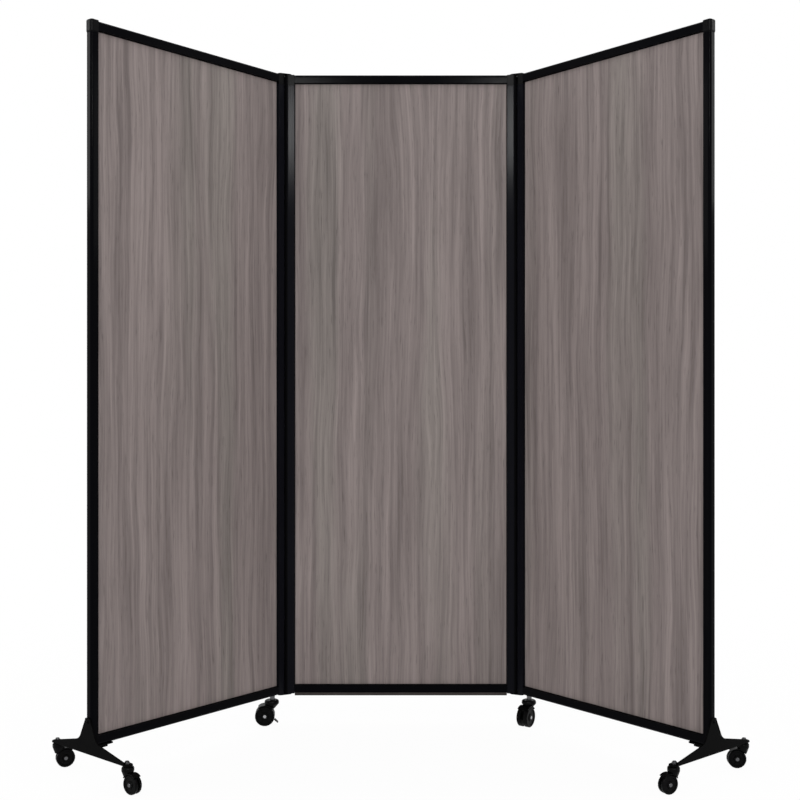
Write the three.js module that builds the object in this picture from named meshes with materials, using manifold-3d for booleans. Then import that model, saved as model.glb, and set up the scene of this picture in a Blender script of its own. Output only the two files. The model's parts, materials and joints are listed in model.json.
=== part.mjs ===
// A three-panel privacy screen on castors: a centre panel and two wings that fold on double-pivot
// hinges. Millimetres, +Z up, floor at z = 0, the viewer's side towards -Y.
import * as THREE from 'three';
import { mergeVertices } from 'three/addons/utils/BufferGeometryUtils.js';
import Module from 'manifold-3d';

const wasm = await Module();
wasm.setup();

// Whole screen
const overallHeight = 2032;
const frameClearance = 90; // floor to the underside of the bottom rails
const hingePitch = 732; // between the middles of the two hinges
const foldDegrees = 50; // how far each wing stands forward of the centre panel

// Frame sections
const frameDepth = 25;
const railFace = 26;
const endPostFace = 22.5;
const hingeStileFace = 19.25; // barrel axis to the visible edge of the board
const sectionWall = 1.8;
const railCornerRadius = 8;
const endPostCornerRadius = 7;

// Infill boards
const boardThickness = 8;
const grooveDepth = 8;
const boardEdgePlay = 0.5; // board edge to the bottom of its groove

// Fits
const fitGap = 0.3; // between two pieces that seat on each other
const turnGap = 0.4; // round a pin or an axle that turns
const noseGap = 1.5; // between the two round noses of a hinge
const cutOverrun = 1; // how far a cut runs past the face that it opens

// Hinge links
const pinRadius = 4;
const pinReach = 62; // how deep each pin stands in its port
const linkPlate = 3.7;
const linkEndRadius = 10.5;
const linkCrown = 1.2;

// Caps of the stiles and the end posts
const capHeight = 33;
const capOverhang = 1.5; // how far an end cap stands proud of its post
const capShoulder = 4;
const capCrown = 3.2;
const crownShare = 1 / 3; // how far over its round edge a crown has its middle ring
const capRise = 2; // top of an end cap over the rail
const capSpigot = 22;

// Legs
const legPlate = 3.5;
const legUnderside = 70;
const legHeight = 166; // floor to the top of the riser
const legRiserWidth = 22;
const legRiserCorner = 5;
const legWaistWidth = 60;
const legWaistHeight = 122;
const legHubWidth = 102;
const legHubHeight = 102;
const legTipHeight = 79;
const legCastorReach = 156; // middle of the leg to a castor's stem
const legTipLead = 1; // end of an arm's web, out from the stem
const legTongueThickness = 3.5;
const legTongueRadius = 12;
const legTongueLead = 5; // middle of a tongue's round end, out from the stem
const legTongueRoot = 14; // how far a tongue runs back under the web
const legBlockWidth = 22;
const legBlockLengths = [70, 53]; // steps of the block under the rail, back from the post's face
const legBlockStep = 4.4;

// Castors: lengths along the trail, heights over the floor
const hingeCastorInset = 35; // wing's barrel axis to the stem of its inner castor
const legCastor = {
  wheelRadius: 25, wheelWidth: 8, webThickness: 5, trail: 21, hubRadius: 10,
  hoodThickness: 2.4, hoodFrontDegrees: 148, hoodBackDegrees: 50,
  domeRadius: 16.5, domeOffset: 3, domeDepth: 11, domeRound: 4, neckRadius: 10.2, neckDepth: 28,
  axleRadius: 3.2, stemRadius: 5, collarRadius: 7.6, collarHeight: 1.4, hasLever: false,
};
const hingeCastor = {
  wheelRadius: 30, wheelWidth: 13, webThickness: 9, trail: 23, hubRadius: 12,
  hoodThickness: 2.6, hoodFrontDegrees: 139, hoodBackDegrees: 52,
  domeRadius: 22.5, domeOffset: 2, domeDepth: 11, domeRound: 5.5, neckRadius: 8.5, neckDepth: 27,
  axleRadius: 3.6, stemRadius: 5, collarRadius: 8, collarHeight: 11.4, hasLever: true,
};
const webFlareDegrees = 45; // how much further round the web runs at the hub than at the hood
const wheelSideGap = 0.7;
const wheelTopGap = 1.3;
const wheelRimWidth = 5.5;
const wheelDish = 2.4;
const wheelDishSlope = 1.4;
const treadRound = 2.2;
const axleHeadRadius = 5.2;
const axleHeadHeight = 1.4;
const axleHeadRound = 0.6;
const stemSocketDepth = 18;
const stemNutRadius = 7.5;
const stemNutHeight = 4.6;
const legStemRise = 7.5; // stem end over a tongue
const railStemRise = 14; // stem end over the underside of a bottom rail

// Brake levers of the two inner castors: an arm between the wheels that turns out into a foot
const leverArmInset = 3.5; // outer edge of the arm inside the wheels' rims
const leverArmDepth = 4.5;
const leverKnuckleRadius = 3.6;
const leverPivotDegrees = 130;
const leverHeelDegrees = 204;
const leverFootWidth = 18;
const leverFootLength = 13;
const leverFootThickness = 2.8;
const leverFootDegrees = 222; // direction of the foot, down and away from the wheels
const leverHeelGap = 1.8; // foot to the wheels' rims
const leverOpenDegrees = 18;
const leverOpenShares = [0, 0.5, 1];

// Facets
const noseSegments = 6;
const cornerSegments = 3;
const boreSegments = 12;
const axleSegments = 10;
const domeSegments = 18;
const wheelSegments = 20;
const roomSegments = 18;
const arcSegments = 5;
const hexagon = 6;

// Where the wheels trail in the room, in degrees from +X towards +Y
const trailDegrees = {
  left_front: 324, left_rear: 26, left_hinge: 184, right_front: 205, right_rear: 179, right_hinge: 237,
};

// Derived places
const half = (value) => value / 2;
const twice = (value) => value * 2;
const degrees = (value) => THREE.MathUtils.degToRad(value);
const quarterTurn = half(Math.PI);
const noseRadius = half(frameDepth);
const barrelSpacing = frameDepth + noseGap;
const frameTop = overallHeight - linkPlate - fitGap;
const centreBarrel = half(hingePitch) - half(barrelSpacing);
const boardSight = hingePitch - barrelSpacing - twice(hingeStileFace);
const wingSightStart = hingeStileFace;
const wingSightEnd = wingSightStart + boardSight;
const wingEnd = wingSightEnd + endPostFace;
const legOuterFace = wingEnd + fitGap + legPlate;
const legTongueMiddle = legOuterFace - legTongueRadius;
const legTipReach = legCastorReach + legTipLead;
const grooveHalf = half(boardThickness) + fitGap;
const boardInsert = grooveDepth - boardEdgePlay;
const capBase = frameTop - capHeight;
const stileLength = capBase - fitGap - frameClearance;
const boardTop = frameTop - railFace + boardInsert;
const boardBottom = frameClearance + railFace - boardInsert;
const pinBoreRadius = pinRadius + turnGap;
const castorHalfWidth = (castor) => half(castor.webThickness) + wheelSideGap + castor.wheelWidth;

// Colours and finishes
const finish = (color, roughness, metalness) => () => new THREE.MeshStandardMaterial(
  { color, roughness, metalness });
const finishes = {
  board: finish(0x7a706e, 0.55, 0),
  frame: finish(0x101013, 0.25, 0.3),
  cap: finish(0x1c1c1e, 0.6, 0),
  leg: finish(0x161616, 0.65, 0.2),
  steel: finish(0x9a9a9c, 0.35, 0.9),
  castor: finish(0x141414, 0.5, 0),
  wheel: finish(0x0d0d0d, 0.6, 0),
};

// A closed geometry as a solid that can be joined and cut
function solidOf(geometry) {
  const bare = geometry.clone();
  bare.deleteAttribute('normal');
  bare.deleteAttribute('uv');
  const merged = mergeVertices(bare);
  return new wasm.Manifold(new wasm.Mesh({
    numProp: 3,
    vertProperties: new Float32Array(merged.attributes.position.array),
    triVerts: new Uint32Array(merged.index.array),
  }));
}

// A solid back as a geometry
function geometryOf(solid) {
  const mesh = solid.getMesh();
  const geometry = new THREE.BufferGeometry();
  geometry.setAttribute('position', new THREE.BufferAttribute(new Float32Array(mesh.vertProperties), 3));
  geometry.setIndex(new THREE.BufferAttribute(new Uint32Array(mesh.triVerts), 1));
  geometry.computeVertexNormals();
  return geometry;
}

function joined(geometries) {
  return geometryOf(geometries.map(solidOf).reduce((whole, solid) => whole.add(solid)));
}

function cut(geometry, cutters) {
  const solid = cutters.map(solidOf).reduce((whole, cutter) => whole.subtract(cutter), solidOf(geometry));
  return geometryOf(solid);
}

// A plane outline pushed along +Z
function extruded(shape, depth, curveSegments = cornerSegments) {
  return new THREE.ExtrudeGeometry(shape, { depth, bevelEnabled: false, curveSegments });
}

// An outline in x and z pushed along Y, centred on y = 0
function sideways(shape, width, curveSegments = arcSegments) {
  return extruded(shape, width, curveSegments).rotateX(quarterTurn).translate(0, half(width), 0);
}

// A profile of [radius, height] turned about Z, with its first point lowest on the axis or on a ring
function turned(profile, segments) {
  const points = profile.map(([radius, height]) => new THREE.Vector2(radius, height));
  return new THREE.LatheGeometry(points, segments).rotateX(quarterTurn);
}

function box(x0, x1, y0, y1, z0, z1) {
  return new THREE.BoxGeometry(x1 - x0, y1 - y0, z1 - z0)
    .translate(half(x0 + x1), half(y0 + y1), half(z0 + z1));
}

function rod(radius, z0, z1, segments = boreSegments) {
  return new THREE.CylinderGeometry(radius, radius, z1 - z0, segments)
    .rotateX(quarterTurn).translate(0, 0, half(z0 + z1));
}

// Equal rings of points, stacked from the bottom up and closed with a fan at each end
function stacked(rings) {
  const count = rings[0].length;
  const index = [];
  for (let level = 0; level + 1 < rings.length; level += 1) {
    for (let k = 0; k < count; k += 1) {
      const a = level * count + k;
      const b = level * count + (k + 1) % count;
      index.push(a, b, b + count, a, b + count, a + count);
    }
  }
  const lid = (rings.length - 1) * count;
  for (let k = 1; k + 1 < count; k += 1) {
    index.push(0, k + 1, k, lid, lid + k, lid + k + 1);
  }
  const position = rings.flat().flatMap((point) => [point.x, point.y, point.z]);
  const geometry = new THREE.BufferGeometry();
  geometry.setAttribute('position', new THREE.Float32BufferAttribute(position, 3));
  geometry.setIndex(index);
  geometry.computeVertexNormals();
  return geometry;
}

function ringAt(shape, height, segments) {
  return shape.getPoints(segments).slice(0, -1).map((point) => new THREE.Vector3(point.x, point.y, height));
}

// A box outline from x = x0 with its two far corners rounded
function roundedEnd(x0, x1, side, radius) {
  const shape = new THREE.Shape();
  shape.moveTo(x0, -side);
  shape.lineTo(x1 - radius, -side);
  shape.absarc(x1 - radius, radius - side, radius, -quarterTurn, 0, false);
  shape.lineTo(x1, side - radius);
  shape.absarc(x1 - radius, side - radius, radius, 0, quarterTurn, false);
  shape.lineTo(x0, side);
  shape.closePath();
  return shape;
}

// A hollow section for a rail or an end post, with a groove that takes the board's edge
// and a channel in each lip: x runs outwards from the board's visible edge, y across the depth
function grooveSectionGeometry(face, cornerRadius, length) {
  const side = half(frameDepth);
  const inner = side - sectionWall;
  const lip = grooveHalf + sectionWall;
  const [start, end] = [-cutOverrun, length + cutOverrun];
  const chamber = roundedEnd(
    grooveDepth + sectionWall, face - sectionWall, inner, cornerRadius - sectionWall);
  return cut(extruded(roundedEnd(0, face, side, cornerRadius), length), [
    box(-cutOverrun, grooveDepth, -grooveHalf, grooveHalf, start, end),
    box(sectionWall, grooveDepth, lip, inner, start, end),
    box(sectionWall, grooveDepth, -inner, -lip, start, end),
    extruded(chamber, end - start).translate(0, 0, start),
  ]);
}

// Outline of a hinge stile: x runs from the barrel axis to the board's visible edge
function stileOutline() {
  const shape = new THREE.Shape();
  shape.moveTo(hingeStileFace, noseRadius);
  shape.lineTo(0, noseRadius);
  shape.absarc(0, 0, noseRadius, quarterTurn, -quarterTurn, false);
  shape.lineTo(hingeStileFace, -noseRadius);
  shape.closePath();
  return shape;
}

// One of the two channels that run round the pin's port and along the groove, side = 1 or -1
function stileChannel(side) {
  const inner = grooveHalf + sectionWall;
  const outer = noseRadius - sectionWall;
  const stop = Math.PI - Math.asin(sectionWall / inner);
  const shape = new THREE.Shape();
  shape.moveTo(hingeStileFace - sectionWall, side * inner);
  shape.lineTo(hingeStileFace - sectionWall, side * outer);
  shape.lineTo(0, side * outer);
  shape.absarc(0, 0, outer, side * quarterTurn, side * stop, side < 0);
  shape.absarc(0, 0, inner, side * stop, side * quarterTurn, side > 0);
  shape.closePath();
  return shape;
}

function hingeStileGeometry() {
  const [start, end] = [-cutOverrun, stileLength + cutOverrun];
  return cut(extruded(stileOutline(), stileLength, noseSegments), [
    box(hingeStileFace - grooveDepth, hingeStileFace + cutOverrun, -grooveHalf, grooveHalf, start, end),
    rod(pinBoreRadius, start, end),
    extruded(stileChannel(1), end - start).translate(0, 0, start),
    extruded(stileChannel(-1), end - start).translate(0, 0, start),
  ]);
}

// Room for the board's upper corner in a cap that stands at capBase
function boardSlot(x0, x1) {
  return box(x0, x1, -grooveHalf, grooveHalf, -cutOverrun, boardTop - capBase + boardEdgePlay);
}

function hingeCapGeometry() {
  return cut(extruded(stileOutline(), capHeight, noseSegments), [
    rod(pinBoreRadius, -cutOverrun, capHeight + cutOverrun),
    boardSlot(hingeStileFace - grooveDepth, hingeStileFace + cutOverrun),
  ]);
}

function endPostGeometry() {
  return grooveSectionGeometry(endPostFace, endPostCornerRadius, stileLength);
}

// A moulded cap that widens over a shoulder, closes in a crown and plugs into its post
function endCapGeometry() {
  const side = half(frameDepth);
  const level = (height, proud) => {
    const outline = roundedEnd(0, endPostFace + proud, side + proud, endPostCornerRadius + proud);
    return ringAt(outline, height, cornerSegments);
  };
  const top = capHeight + capRise;
  const cover = stacked([
    level(0, 0),
    level(capShoulder, capOverhang),
    level(top - capCrown, capOverhang),
    level(top - capCrown * crownShare, capOverhang - capCrown * crownShare),
    level(top, capOverhang - capCrown),
  ]);
  const spigotFit = sectionWall + fitGap;
  const spigot = roundedEnd(
    grooveDepth + spigotFit, endPostFace - spigotFit, side - spigotFit, endPostCornerRadius - spigotFit);
  return joined([
    cut(cover, [boardSlot(-cutOverrun, grooveDepth)]),
    extruded(spigot, capSpigot + capShoulder).translate(0, 0, -capSpigot),
  ]);
}

// An obround plate with a crowned outer face, and a pin on each barrel axis
function hingeLinkGeometry() {
  const level = (height, inset) => {
    const radius = linkEndRadius - inset;
    const outline = new THREE.Shape();
    outline.absarc(0, 0, radius, quarterTurn, -quarterTurn, false);
    outline.absarc(barrelSpacing, 0, radius, -quarterTurn, quarterTurn, false);
    outline.closePath();
    return ringAt(outline, height, noseSegments);
  };
  const pin = rod(pinRadius, -pinReach, half(linkPlate));
  return joined([
    stacked([level(0, 0), level(linkPlate - linkCrown, 0), level(linkPlate, linkCrown)]),
    pin,
    pin.clone().translate(barrelSpacing, 0, 0),
  ]);
}

function railGeometry() {
  return grooveSectionGeometry(railFace, railCornerRadius, boardSight - twice(fitGap));
}

// A bottom rail with the hole for a castor's stem through its underside, holeAt from its start
function drilledRailGeometry(holeAt) {
  const hole = rod(
    hingeCastor.stemRadius + fitGap, railFace - sectionWall - cutOverrun, railFace + cutOverrun)
    .rotateY(quarterTurn).translate(0, 0, holeAt);
  return cut(railGeometry(), [hole]);
}

function boardGeometry() {
  const reach = half(boardSight) + boardInsert;
  return box(-reach, reach, -half(boardThickness), half(boardThickness), boardBottom, boardTop);
}

// The leg's web seen along the wing: a riser that flares through fillets into two tapering arms
function legWebShape() {
  const [riser, waist, hub] = [half(legRiserWidth), half(legWaistWidth), half(legHubWidth)];
  const shape = new THREE.Shape();
  shape.moveTo(-legTipReach, legUnderside);
  shape.lineTo(legTipReach, legUnderside);
  shape.lineTo(legTipReach, legTipHeight);
  shape.lineTo(hub, legHubHeight);
  shape.quadraticCurveTo(waist + legRiserCorner, legHubHeight + legRiserCorner, waist, legWaistHeight);
  shape.lineTo(riser, legHeight - legRiserCorner);
  shape.quadraticCurveTo(riser, legHeight, riser - legRiserCorner, legHeight);
  shape.lineTo(legRiserCorner - riser, legHeight);
  shape.quadraticCurveTo(-riser, legHeight, -riser, legHeight - legRiserCorner);
  shape.lineTo(-waist, legWaistHeight);
  shape.quadraticCurveTo(-waist - legRiserCorner, legHubHeight + legRiserCorner, -hub, legHubHeight);
  shape.lineTo(-legTipReach, legTipHeight);
  shape.closePath();
  return shape;
}

// The flat tongue under an arm's end, with the hole for a castor's stem, side = 1 or -1
function legTongueGeometry(side) {
  const shape = new THREE.Shape();
  shape.moveTo(legTongueRadius, legTipReach - legTongueRoot);
  shape.lineTo(legTongueRadius, legCastorReach + legTongueLead);
  shape.absarc(0, legCastorReach + legTongueLead, legTongueRadius, 0, Math.PI, false);
  shape.lineTo(-legTongueRadius, legTipReach - legTongueRoot);
  shape.closePath();
  const hole = rod(legCastor.stemRadius + fitGap, -cutOverrun, legTongueThickness + cutOverrun)
    .translate(0, legCastorReach, 0);
  return cut(extruded(shape, legTongueThickness), [hole])
    .rotateZ(side > 0 ? 0 : Math.PI).translate(legTongueMiddle, 0, legUnderside);
}

// A plate leg with a tongue for each castor and the stepped block that seats under the rail and the post
function legGeometry() {
  const web = extruded(legWebShape(), legPlate, arcSegments)
    .rotateX(quarterTurn).rotateZ(quarterTurn).translate(wingEnd + fitGap, 0, 0);
  const seat = frameClearance - fitGap;
  const side = half(legBlockWidth);
  const steps = legBlockLengths.map((length, k) => box(
    wingEnd - length, wingEnd + fitGap + half(legPlate), -side, side, seat - legBlockStep * (k + 1), seat));
  return joined([web, legTongueGeometry(1), legTongueGeometry(-1), ...steps]);
}

// A wheel round Y from its inner face at y = 0 to its dished outer face, standing on a flat facet
function wheelGeometry(castor) {
  const rim = castor.wheelRadius / Math.cos(Math.PI / wheelSegments);
  const bore = castor.axleRadius + turnGap;
  const [face, dish] = [castor.wheelWidth, castor.wheelWidth - wheelDish];
  return turned([
    [bore, 0], [rim, 0], [rim, face - treadRound], [rim - treadRound, face], [rim - wheelRimWidth, face],
    [rim - wheelRimWidth - wheelDishSlope, dish], [castor.hubRadius, dish],
    [castor.hubRadius - wheelDishSlope, face], [bore, face], [bore, 0],
  ], wheelSegments).rotateX(-quarterTurn).rotateY(Math.PI / wheelSegments);
}

// An axle along Y with a round head outside each wheel
function axleGeometry(castor) {
  const reach = castorHalfWidth(castor) + fitGap;
  const end = reach + axleHeadHeight;
  const head = [
    [castor.axleRadius, reach], [axleHeadRadius, reach], [axleHeadRadius, end - axleHeadRound],
    [axleHeadRadius - axleHeadRound, end], [0, end],
  ];
  const farHead = head.map(([radius, height]) => [radius, -height]).reverse();
  return turned([...farHead, ...head], axleSegments).rotateX(-quarterTurn);
}

// A point at a radius and an angle round the axle, in the side view's x and z
function roundAxle(castor, radius, angle) {
  return new THREE.Vector2(
    castor.trail + radius * Math.cos(degrees(angle)),
    castor.wheelRadius + radius * Math.sin(degrees(angle)));
}

// Side view of the web between the wheels: a sector that carries the hood, and the hub below it
function webShape(castor) {
  const { trail, wheelRadius, hoodBackDegrees, hoodFrontDegrees, hubRadius } = castor;
  const outer = wheelRadius + wheelTopGap + half(castor.hoodThickness);
  const [hubStart, hubEnd] = [hoodFrontDegrees + webFlareDegrees, hoodBackDegrees - webFlareDegrees];
  const shape = new THREE.Shape();
  shape.absarc(trail, wheelRadius, outer, degrees(hoodBackDegrees), degrees(hoodFrontDegrees), false);
  shape.absarc(trail, wheelRadius, hubRadius, degrees(hubStart), degrees(hubEnd), false);
  shape.closePath();
  return shape;
}

// Side view of the hood: an arc over the wheels
function hoodShape(castor) {
  const inner = castor.wheelRadius + wheelTopGap;
  const [back, front] = [degrees(castor.hoodBackDegrees), degrees(castor.hoodFrontDegrees)];
  const shape = new THREE.Shape();
  shape.absarc(castor.trail, castor.wheelRadius, inner + castor.hoodThickness, back, front, false);
  shape.absarc(castor.trail, castor.wheelRadius, inner, front, back, true);
  shape.closePath();
  return shape;
}

// The dome over the hood, which narrows downwards to the neck in front of the wheels
function domeGeometry(castor, neckTop) {
  const { domeRadius, domeRound, domeDepth, neckDepth, neckRadius } = castor;
  const shoulder = neckTop - domeRound;
  return turned([
    [0, neckTop - neckDepth], [neckRadius, neckTop - neckDepth], [domeRadius, neckTop - domeDepth],
    [domeRadius, shoulder], [domeRadius - domeRound * crownShare, neckTop - domeRound * crownShare],
    [domeRadius - domeRound, neckTop], [0, neckTop],
  ], domeSegments).translate(castor.domeOffset, 0, 0);
}

// The hood, its web and its dome as one moulding that swivels on the stem
function hoodGeometry(castor, neckTop) {
  const width = twice(castorHalfWidth(castor));
  const body = joined([
    sideways(hoodShape(castor), width),
    sideways(webShape(castor), castor.webThickness),
    domeGeometry(castor, neckTop),
  ]);
  const wheelRoom = rod(castor.wheelRadius + wheelTopGap, half(castor.webThickness), width, roomSegments)
    .rotateX(-quarterTurn).translate(castor.trail, 0, castor.wheelRadius);
  const cutters = [
    wheelRoom,
    wheelRoom.clone().translate(0, -width - half(castor.webThickness), 0),
    rod(castor.stemRadius + turnGap, neckTop - stemSocketDepth, neckTop + cutOverrun),
    rod(castor.axleRadius + fitGap, -width, width, axleSegments)
      .rotateX(quarterTurn).translate(castor.trail, 0, castor.wheelRadius),
  ];
  if (castor.hasLever) {
    leverOpenShares.forEach((share) => cutters.push(leverRoom(castor, share * leverOpenDegrees)));
  }
  return cut(body, cutters);
}

const leverArmRadius = (castor) => castor.wheelRadius - leverArmInset - half(leverArmDepth);

const leverPivot = (castor) => roundAxle(castor, leverArmRadius(castor), leverPivotDegrees);

// Side view of a lever's arm round the axle, from the knuckle to the heel, grown by a clearance
function leverArmShape(castor, grow) {
  const reach = half(leverArmDepth) + grow;
  const [pivot, heel] = [degrees(leverPivotDegrees), degrees(leverHeelDegrees)];
  const shape = new THREE.Shape();
  shape.absarc(castor.trail, castor.wheelRadius, leverArmRadius(castor) + reach, pivot, heel, false);
  shape.absarc(castor.trail, castor.wheelRadius, leverArmRadius(castor) - reach, heel, pivot, true);
  shape.closePath();
  return shape;
}

// A point in the side view, so far along the foot and so far across it from a base
function onLeverFoot(base, along, across) {
  const lead = new THREE.Vector2(Math.cos(degrees(leverFootDegrees)), Math.sin(degrees(leverFootDegrees)));
  const aside = new THREE.Vector2(lead.y, -lead.x);
  return base.clone().addScaledVector(lead, along).addScaledVector(aside, across);
}

// Where the foot starts, just outside the wheels' rims
function leverHeel(castor) {
  const rim = castor.wheelRadius / Math.cos(Math.PI / wheelSegments);
  return roundAxle(castor, rim + leverHeelGap + half(leverFootThickness), leverHeelDegrees);
}

// Side view of the heel, which runs from the arm out between the wheels' rims
function leverHeelShape(castor) {
  const side = half(leverFootThickness);
  const root = roundAxle(castor, leverArmRadius(castor), leverHeelDegrees);
  const heel = leverHeel(castor);
  return new THREE.Shape([
    onLeverFoot(root, 0, -side),
    onLeverFoot(heel, side, -side),
    onLeverFoot(heel, side, side),
    onLeverFoot(root, 0, side),
  ]);
}

// Side view of the foot, which narrows to its tip
function leverFootShape(castor) {
  const side = half(leverFootThickness);
  const heel = leverHeel(castor);
  return new THREE.Shape([
    onLeverFoot(heel, 0, -side),
    onLeverFoot(heel, leverFootLength, -half(side)),
    onLeverFoot(heel, leverFootLength, half(side)),
    onLeverFoot(heel, 0, side),
  ]);
}

// A lever's knuckle on its pivot, grown by a clearance
function leverKnuckle(castor, width, grow) {
  const pivot = leverPivot(castor);
  return rod(leverKnuckleRadius + grow, -half(width), half(width))
    .rotateX(quarterTurn).translate(pivot.x, 0, pivot.y);
}

// The knuckle and the arm with a clearance round them, opened by an angle about the pivot
function leverRoom(castor, angle) {
  const width = castor.webThickness + twice(cutOverrun);
  const pivot = leverPivot(castor);
  return joined([
    leverKnuckle(castor, width, turnGap),
    sideways(leverArmShape(castor, turnGap), width),
  ]).translate(-pivot.x, 0, -pivot.y).rotateY(degrees(angle)).translate(pivot.x, 0, pivot.y);
}

function leverGeometry(castor) {
  const width = castor.webThickness;
  return joined([
    leverKnuckle(castor, width, 0),
    sideways(leverArmShape(castor, 0), width),
    sideways(leverHeelShape(castor), width),
    sideways(leverFootShape(castor), leverFootWidth),
  ]);
}

// A stem fixed from above, with the collar that its neck turns under, and a nut where nutBase is given
function stemGeometry(castor, neckTop, end, nutBase) {
  const pieces = [
    rod(castor.stemRadius, neckTop - stemSocketDepth + turnGap, end, axleSegments),
    rod(castor.collarRadius, neckTop + fitGap, neckTop + fitGap + castor.collarHeight, hexagon),
  ];
  if (nutBase) {
    pieces.push(rod(stemNutRadius, nutBase, nutBase + stemNutHeight, hexagon));
  }
  return joined(pieces);
}

function addPiece(group, name, geometry, finishName, position = [0, 0, 0], rotation = [0, 0, 0]) {
  const mesh = new THREE.Mesh(geometry, finishes[finishName]());
  mesh.name = name;
  mesh.position.set(...position);
  mesh.rotation.set(...rotation);
  group.add(mesh);
  return mesh;
}

// A hinge stile and its cap, standing at x with its nose pointing away from the board
function addHingeStile(group, name, x, turn) {
  addPiece(group, name, hingeStileGeometry(), 'frame', [x, 0, frameClearance], [0, 0, turn]);
  addPiece(group, `${name}_cap`, hingeCapGeometry(), 'cap', [x, 0, capBase], [0, 0, turn]);
}

// The board and the two rails of a panel whose visible board runs from x0 to x1
function addInfill(group, side, x0, x1, bottomRail) {
  addPiece(group, `${side}_board`, boardGeometry(), 'board', [half(x0 + x1), 0, 0]);
  addPiece(group, `${side}_top_rail`, railGeometry(), 'frame',
    [x1 - fitGap, 0, frameTop - railFace], [0, -quarterTurn, 0]);
  addPiece(group, `${side}_bottom_rail`, bottomRail, 'frame',
    [x0 + fitGap, 0, frameClearance + railFace], [0, quarterTurn, 0]);
}

function centrePanel() {
  const panel = new THREE.Group();
  const edge = half(boardSight);
  addInfill(panel, 'centre', -edge, edge, railGeometry());
  addHingeStile(panel, 'centre_left_stile', -centreBarrel, 0);
  addHingeStile(panel, 'centre_right_stile', centreBarrel, Math.PI);
  return panel;
}

// The two links of a hinge, over and under the noses
function hingeLinks(side) {
  const links = new THREE.Group();
  addPiece(links, `${side}_hinge_top_link`, hingeLinkGeometry(), 'cap', [0, 0, frameTop + fitGap]);
  addPiece(links, `${side}_hinge_bottom_link`, hingeLinkGeometry(), 'cap',
    [0, 0, frameClearance - fitGap], [Math.PI, 0, 0]);
  return links;
}

// One castor: the stem belongs to the wing, the rest turns with the trail
function addCastor(wing, wingTurn, name, castor, x, y, seat, stemEnd, nutBase) {
  const neckTop = seat - fitGap - castor.collarHeight - fitGap;
  addPiece(wing, `${name}_stem`, stemGeometry(castor, neckTop, stemEnd, nutBase), 'steel', [x, y, 0]);
  const swivel = new THREE.Group();
  swivel.position.set(x, y, 0);
  swivel.rotation.z = degrees(trailDegrees[name.replace('_castor', '')]) - wingTurn;
  const inner = half(castor.webThickness) + wheelSideGap;
  addPiece(swivel, `${name}_hood`, hoodGeometry(castor, neckTop), 'castor');
  addPiece(swivel, `${name}_axle`, axleGeometry(castor), 'steel', [castor.trail, 0, castor.wheelRadius]);
  addPiece(swivel, `${name}_wheel_a`, wheelGeometry(castor), 'wheel',
    [castor.trail, inner, castor.wheelRadius]);
  addPiece(swivel, `${name}_wheel_b`, wheelGeometry(castor), 'wheel',
    [castor.trail, -inner, castor.wheelRadius], [0, 0, Math.PI]);
  if (castor.hasLever) {
    addPiece(swivel, `${name}_brake_lever`, leverGeometry(castor), 'castor');
  }
  wing.add(swivel);
}

// A wing in its own frame: x runs outwards from its barrel axis, frontSide is the viewer's side in y
function wingPanel(side, wingTurn, frontSide) {
  const wing = new THREE.Group();
  const holeAt = hingeCastorInset - wingSightStart - fitGap;
  addInfill(wing, side, wingSightStart, wingSightEnd, drilledRailGeometry(holeAt));
  addHingeStile(wing, `${side}_hinge_stile`, 0, 0);
  addPiece(wing, `${side}_end_post`, endPostGeometry(), 'frame', [wingSightEnd, 0, frameClearance]);
  addPiece(wing, `${side}_end_cap`, endCapGeometry(), 'cap', [wingSightEnd, 0, capBase]);
  addPiece(wing, `${side}_leg`, legGeometry(), 'leg');
  const tongueTop = legUnderside + legTongueThickness;
  for (const [end, sign] of [['front', frontSide], ['rear', -frontSide]]) {
    addCastor(wing, wingTurn, `${side}_${end}_castor`, legCastor, legTongueMiddle, sign * legCastorReach,
      legUnderside, tongueTop + legStemRise, tongueTop + fitGap);
  }
  addCastor(wing, wingTurn, `${side}_hinge_castor`, hingeCastor, hingeCastorInset, 0,
    frameClearance, frameClearance + railStemRise, 0);
  return wing;
}

// A hinge and its wing on one side of the centre panel, side sign = -1 on the left and 1 on the right
function foldingSide(side, sign) {
  const straight = sign > 0 ? 0 : Math.PI;
  const halfFold = -sign * half(degrees(foldDegrees));
  const hinge = hingeLinks(side);
  hinge.position.set(sign * centreBarrel, 0, 0);
  hinge.rotation.z = straight + halfFold;
  const wing = wingPanel(side, straight + twice(halfFold), -sign);
  wing.position.set(barrelSpacing, 0, 0);
  wing.rotation.z = halfFold;
  hinge.add(wing);
  return hinge;
}

const screen = new THREE.Group();
screen.add(centrePanel(), foldingSide('left', -1), foldingSide('right', 1));
screen.updateMatrixWorld(true);
const middle = new THREE.Box3().setFromObject(screen, true).getCenter(new THREE.Vector3());
screen.position.set(-middle.x, -middle.y, 0);

export default screen;
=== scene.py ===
"""Finishes, trim and studio for a three-panel privacy screen on castors, laid out as an add-on."""

import json
import math

import bpy
import mathutils
import numpy as np
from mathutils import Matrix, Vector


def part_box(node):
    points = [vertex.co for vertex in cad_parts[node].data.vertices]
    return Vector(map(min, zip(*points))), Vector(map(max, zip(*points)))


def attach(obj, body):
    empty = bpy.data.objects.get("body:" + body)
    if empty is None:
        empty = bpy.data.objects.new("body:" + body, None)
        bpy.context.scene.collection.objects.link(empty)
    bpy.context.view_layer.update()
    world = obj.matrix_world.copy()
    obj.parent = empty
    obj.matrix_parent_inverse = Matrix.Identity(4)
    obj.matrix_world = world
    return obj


bl_info = {
    "name": "Privacy Screen Finishes",
    "version": (1, 0, 0),
    "blender": (4, 5, 0),
    "location": "3D View > Sidebar > Screen",
    "description": "Finishes, trim and studio for a three-panel privacy screen on castors",
    "category": "Object",
}

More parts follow.
